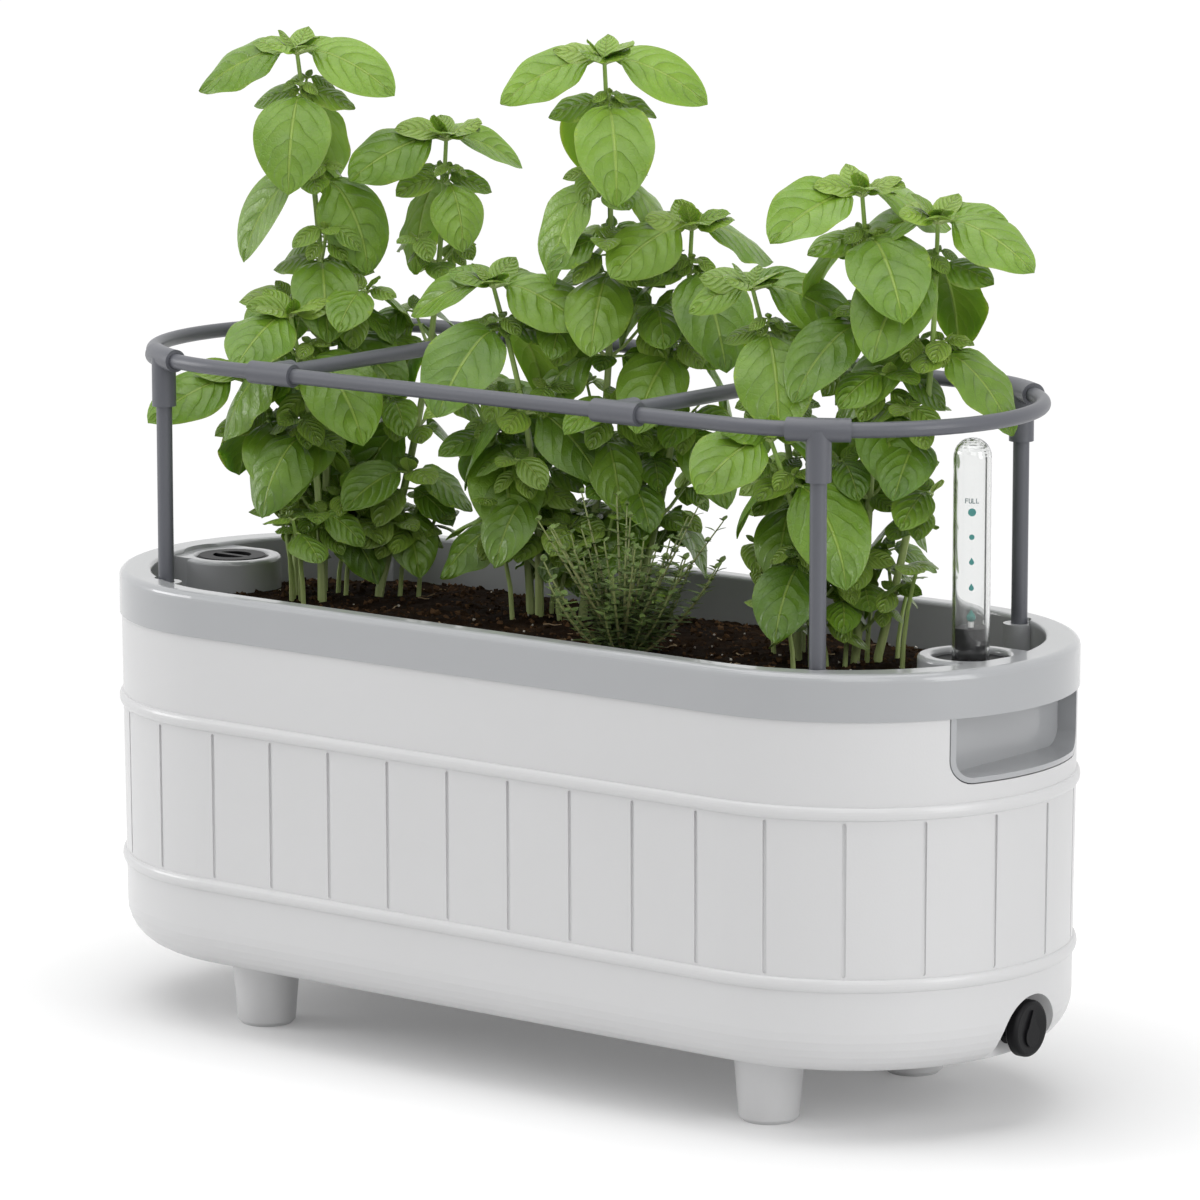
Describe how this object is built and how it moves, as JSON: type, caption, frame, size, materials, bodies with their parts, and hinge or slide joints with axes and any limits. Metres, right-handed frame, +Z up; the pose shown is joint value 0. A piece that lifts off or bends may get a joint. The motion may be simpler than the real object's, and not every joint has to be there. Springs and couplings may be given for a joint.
{
  "type": "self-watering herb planter",
  "caption": "Oval self-watering planter: footed reservoir shell with a drain, lift-out tub with fill port and float gauge, plug-in tube trellis, soil and potted herbs.",
  "frame": {"origin": "on the floor under the middle of the body", "axes": "+X along the length towards the drain and the gauge, -Y towards the front, +Z up"},
  "size_m": [0.5492, 0.2212, 0.5002],
  "materials": {
    "shell_white": "satin white moulding",
    "rim_grey": "glossy light grey moulding",
    "black_plastic": "satin black moulding",
    "black_rubber": "matte",
    "clear_plastic": "clear polished moulding",
    "float_white": "satin",
    "pointer_teal": "satin",
    "trellis_slate": "satin slate grey tube",
    "soil": "loose dark growing mix",
    "basil_leaf": "leaf",
    "thyme_leaf": "leaf"
  },
  "bodies": {
    "reservoir": {"outer_shell": "shell_white", "reservoir_floor": "shell_white", "drain_panel": "shell_white", "foot_front_left": "shell_white", "foot_front_right": "shell_white", "foot_rear_left": "shell_white", "foot_rear_right": "shell_white", "drain_bush": "black_plastic", "drain_washer": "black_rubber"},
    "drain": {"drain_stem": "black_plastic", "drain_knob": "black_plastic"},
    "tub": {"planter_tub": "rim_grey", "wick_basket_left": "rim_grey", "wick_basket_right": "rim_grey", "gauge_disc": "black_plastic", "gauge_collar": "black_plastic", "gauge_tube": "clear_plastic", "soil": "soil", "basil_left": "basil_leaf", "basil_middle": "basil_leaf", "basil_right": "basil_leaf", "thyme": "thyme_leaf"},
    "fill_cap": {"fill_cap": "black_plastic", "fill_cap_seal": "black_rubber"},
    "float": {"gauge_float": "float_white", "float_rod": "float_white", "float_pointer": "pointer_teal"},
    "trellis": {"post_front_left": "trellis_slate", "post_front_right": "trellis_slate", "post_rear_left": "trellis_slate", "post_rear_right": "trellis_slate", "post_tee_front_left": "trellis_slate", "post_tee_front_right": "trellis_slate", "post_tee_rear_left": "trellis_slate", "post_tee_rear_right": "trellis_slate", "end_bow_left": "trellis_slate", "end_bow_right": "trellis_slate", "front_rail": "trellis_slate", "rear_rail": "trellis_slate", "cross_tube_left": "trellis_slate", "cross_tube_right": "trellis_slate", "cross_tee_front_left": "trellis_slate", "cross_tee_front_right": "trellis_slate", "cross_tee_rear_left": "trellis_slate", "cross_tee_rear_right": "trellis_slate"}
  },
  "joints": [
    {"name": "drain_turn", "type": "hinge", "parent": "reservoir", "child": "drain", "pos_m": [0.258, 0, 0.0495], "axis": [1, 0, 0], "range_deg": [0, 90]},
    {"name": "tub_lift", "type": "slide", "parent": "reservoir", "child": "tub", "axis": [0, 0, 1], "range_m": [0, 0.18]},
    {"name": "cap_lift", "type": "slide", "parent": "tub", "child": "fill_cap", "axis": [0, 0, 1], "range_m": [0, 0.03]},
    {"name": "float_rise", "type": "slide", "parent": "tub", "child": "float", "axis": [0, 0, 1], "range_m": [0, 0.0495]},
    {"name": "trellis_lift", "type": "slide", "parent": "tub", "child": "trellis", "axis": [0, 0, 1], "range_m": [0, 0.025]}
  ]
}
